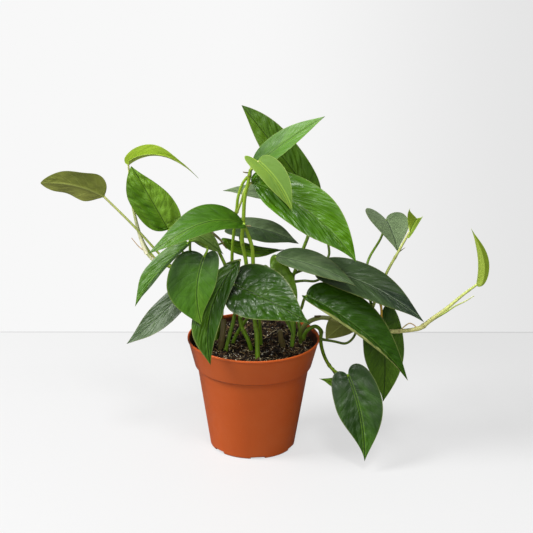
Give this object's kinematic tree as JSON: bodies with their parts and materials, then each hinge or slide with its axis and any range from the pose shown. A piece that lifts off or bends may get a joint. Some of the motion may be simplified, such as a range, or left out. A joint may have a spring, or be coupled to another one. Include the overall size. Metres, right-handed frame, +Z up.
{
  "type": "potted cebu blue pothos",
  "caption": "Trailing house plant with pointed, quilted leaves on thin stems, in a tapered plastic nursery pot with a deep flared lip.",
  "frame": {"origin": "middle of the pot's underside, on the surface that it stands on", "axes": "+Z up along the pot's axis, +X to the plant's right as the picture shows it, -Y to its front"},
  "size_m": [0.4016, 0.1291, 0.3133],
  "materials": {
    "pot": "matte",
    "soil": "rough",
    "old_stem": "rough",
    "stem": "satin",
    "leaf_deep": "satin",
    "leaf_middle": "satin",
    "leaf_bright": "satin",
    "leaf_lime": "satin",
    "leaf_sheen": "satin",
    "leaf_olive": "satin"
  },
  "bodies": {
    "root": {"pot": "pot", "soil": "soil", "vine_left": "stem", "vine_inner": "stem", "vine_front": "stem", "vine_top": "stem", "vine_back": "stem", "vine_right": "stem", "vine_low": "stem", "vine_side": "stem", "stub_left": "old_stem", "stub_right": "old_stem", "leaf_far_left": "leaf_olive", "leaf_lime_arching": "leaf_lime", "leaf_upright_quilted": "leaf_middle", "leaf_front_arch": "leaf_middle", "leaf_folded_left": "leaf_middle", "leaf_low_left": "leaf_sheen", "leaf_heart_left": "leaf_middle", "leaf_lit_small": "leaf_bright", "leaf_dark_hanging": "leaf_deep", "leaf_front_heart": "leaf_deep", "leaf_behind_heart": "leaf_middle", "leaf_blue_grazing": "leaf_sheen", "leaf_narrow_dark": "leaf_deep", "leaf_back_dark": "leaf_sheen", "leaf_back_grazing": "leaf_sheen", "leaf_top_back": "leaf_deep", "leaf_top_pointing": "leaf_bright", "leaf_lime_down": "leaf_lime", "leaf_bright_big": "leaf_bright", "leaf_right_dark": "leaf_sheen", "leaf_right_big": "leaf_deep", "leaf_hanging_right": "leaf_deep", "leaf_low_heart": "leaf_middle", "leaf_hidden_tip": "leaf_middle", "leaf_olive_under": "leaf_olive", "leaf_back_heart": "leaf_sheen", "leaf_new_cup": "leaf_lime", "leaf_young_upright": "leaf_lime"}
  },
  "joints": []
}
